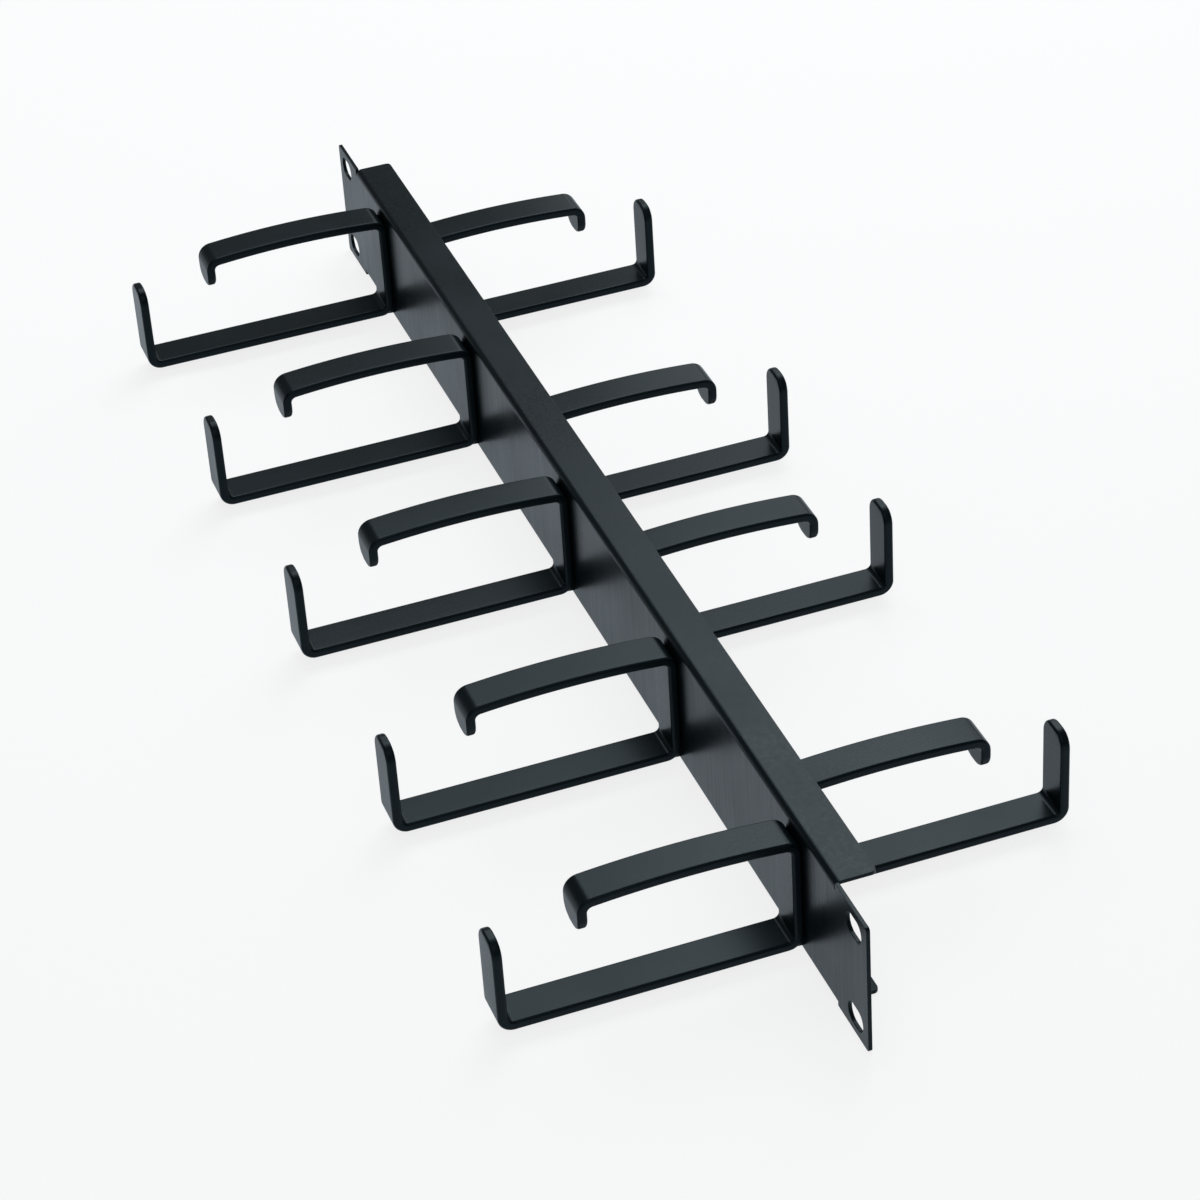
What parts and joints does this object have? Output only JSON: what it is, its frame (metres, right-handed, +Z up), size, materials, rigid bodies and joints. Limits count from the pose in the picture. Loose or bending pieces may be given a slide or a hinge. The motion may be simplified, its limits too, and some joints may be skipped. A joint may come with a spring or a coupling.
{
  "type": "horizontal cable manager",
  "caption": "Rack panel folded from sheet steel, with slotted ears and open flat-bar rings on its front and back that hold cable bundles.",
  "frame": {"origin": "middle of the rack slots, on the back face of the ears that seats on the rack's rails", "axes": "+X along the panel, +Y into the rack, +Z up; the front of the panel faces -Y"},
  "size_m": [0.4826, 0.1832, 0.0436],
  "materials": {
    "black_powder_coat": "satin black powder coat"
  },
  "bodies": {
    "root": {"channel_panel": "black_powder_coat", "front_ring_1": "black_powder_coat", "front_ring_2": "black_powder_coat", "front_ring_3": "black_powder_coat", "front_ring_4": "black_powder_coat", "front_ring_5": "black_powder_coat", "rear_ring_1": "black_powder_coat", "rear_ring_2": "black_powder_coat", "rear_ring_3": "black_powder_coat", "rear_ring_4": "black_powder_coat"}
  },
  "joints": []
}
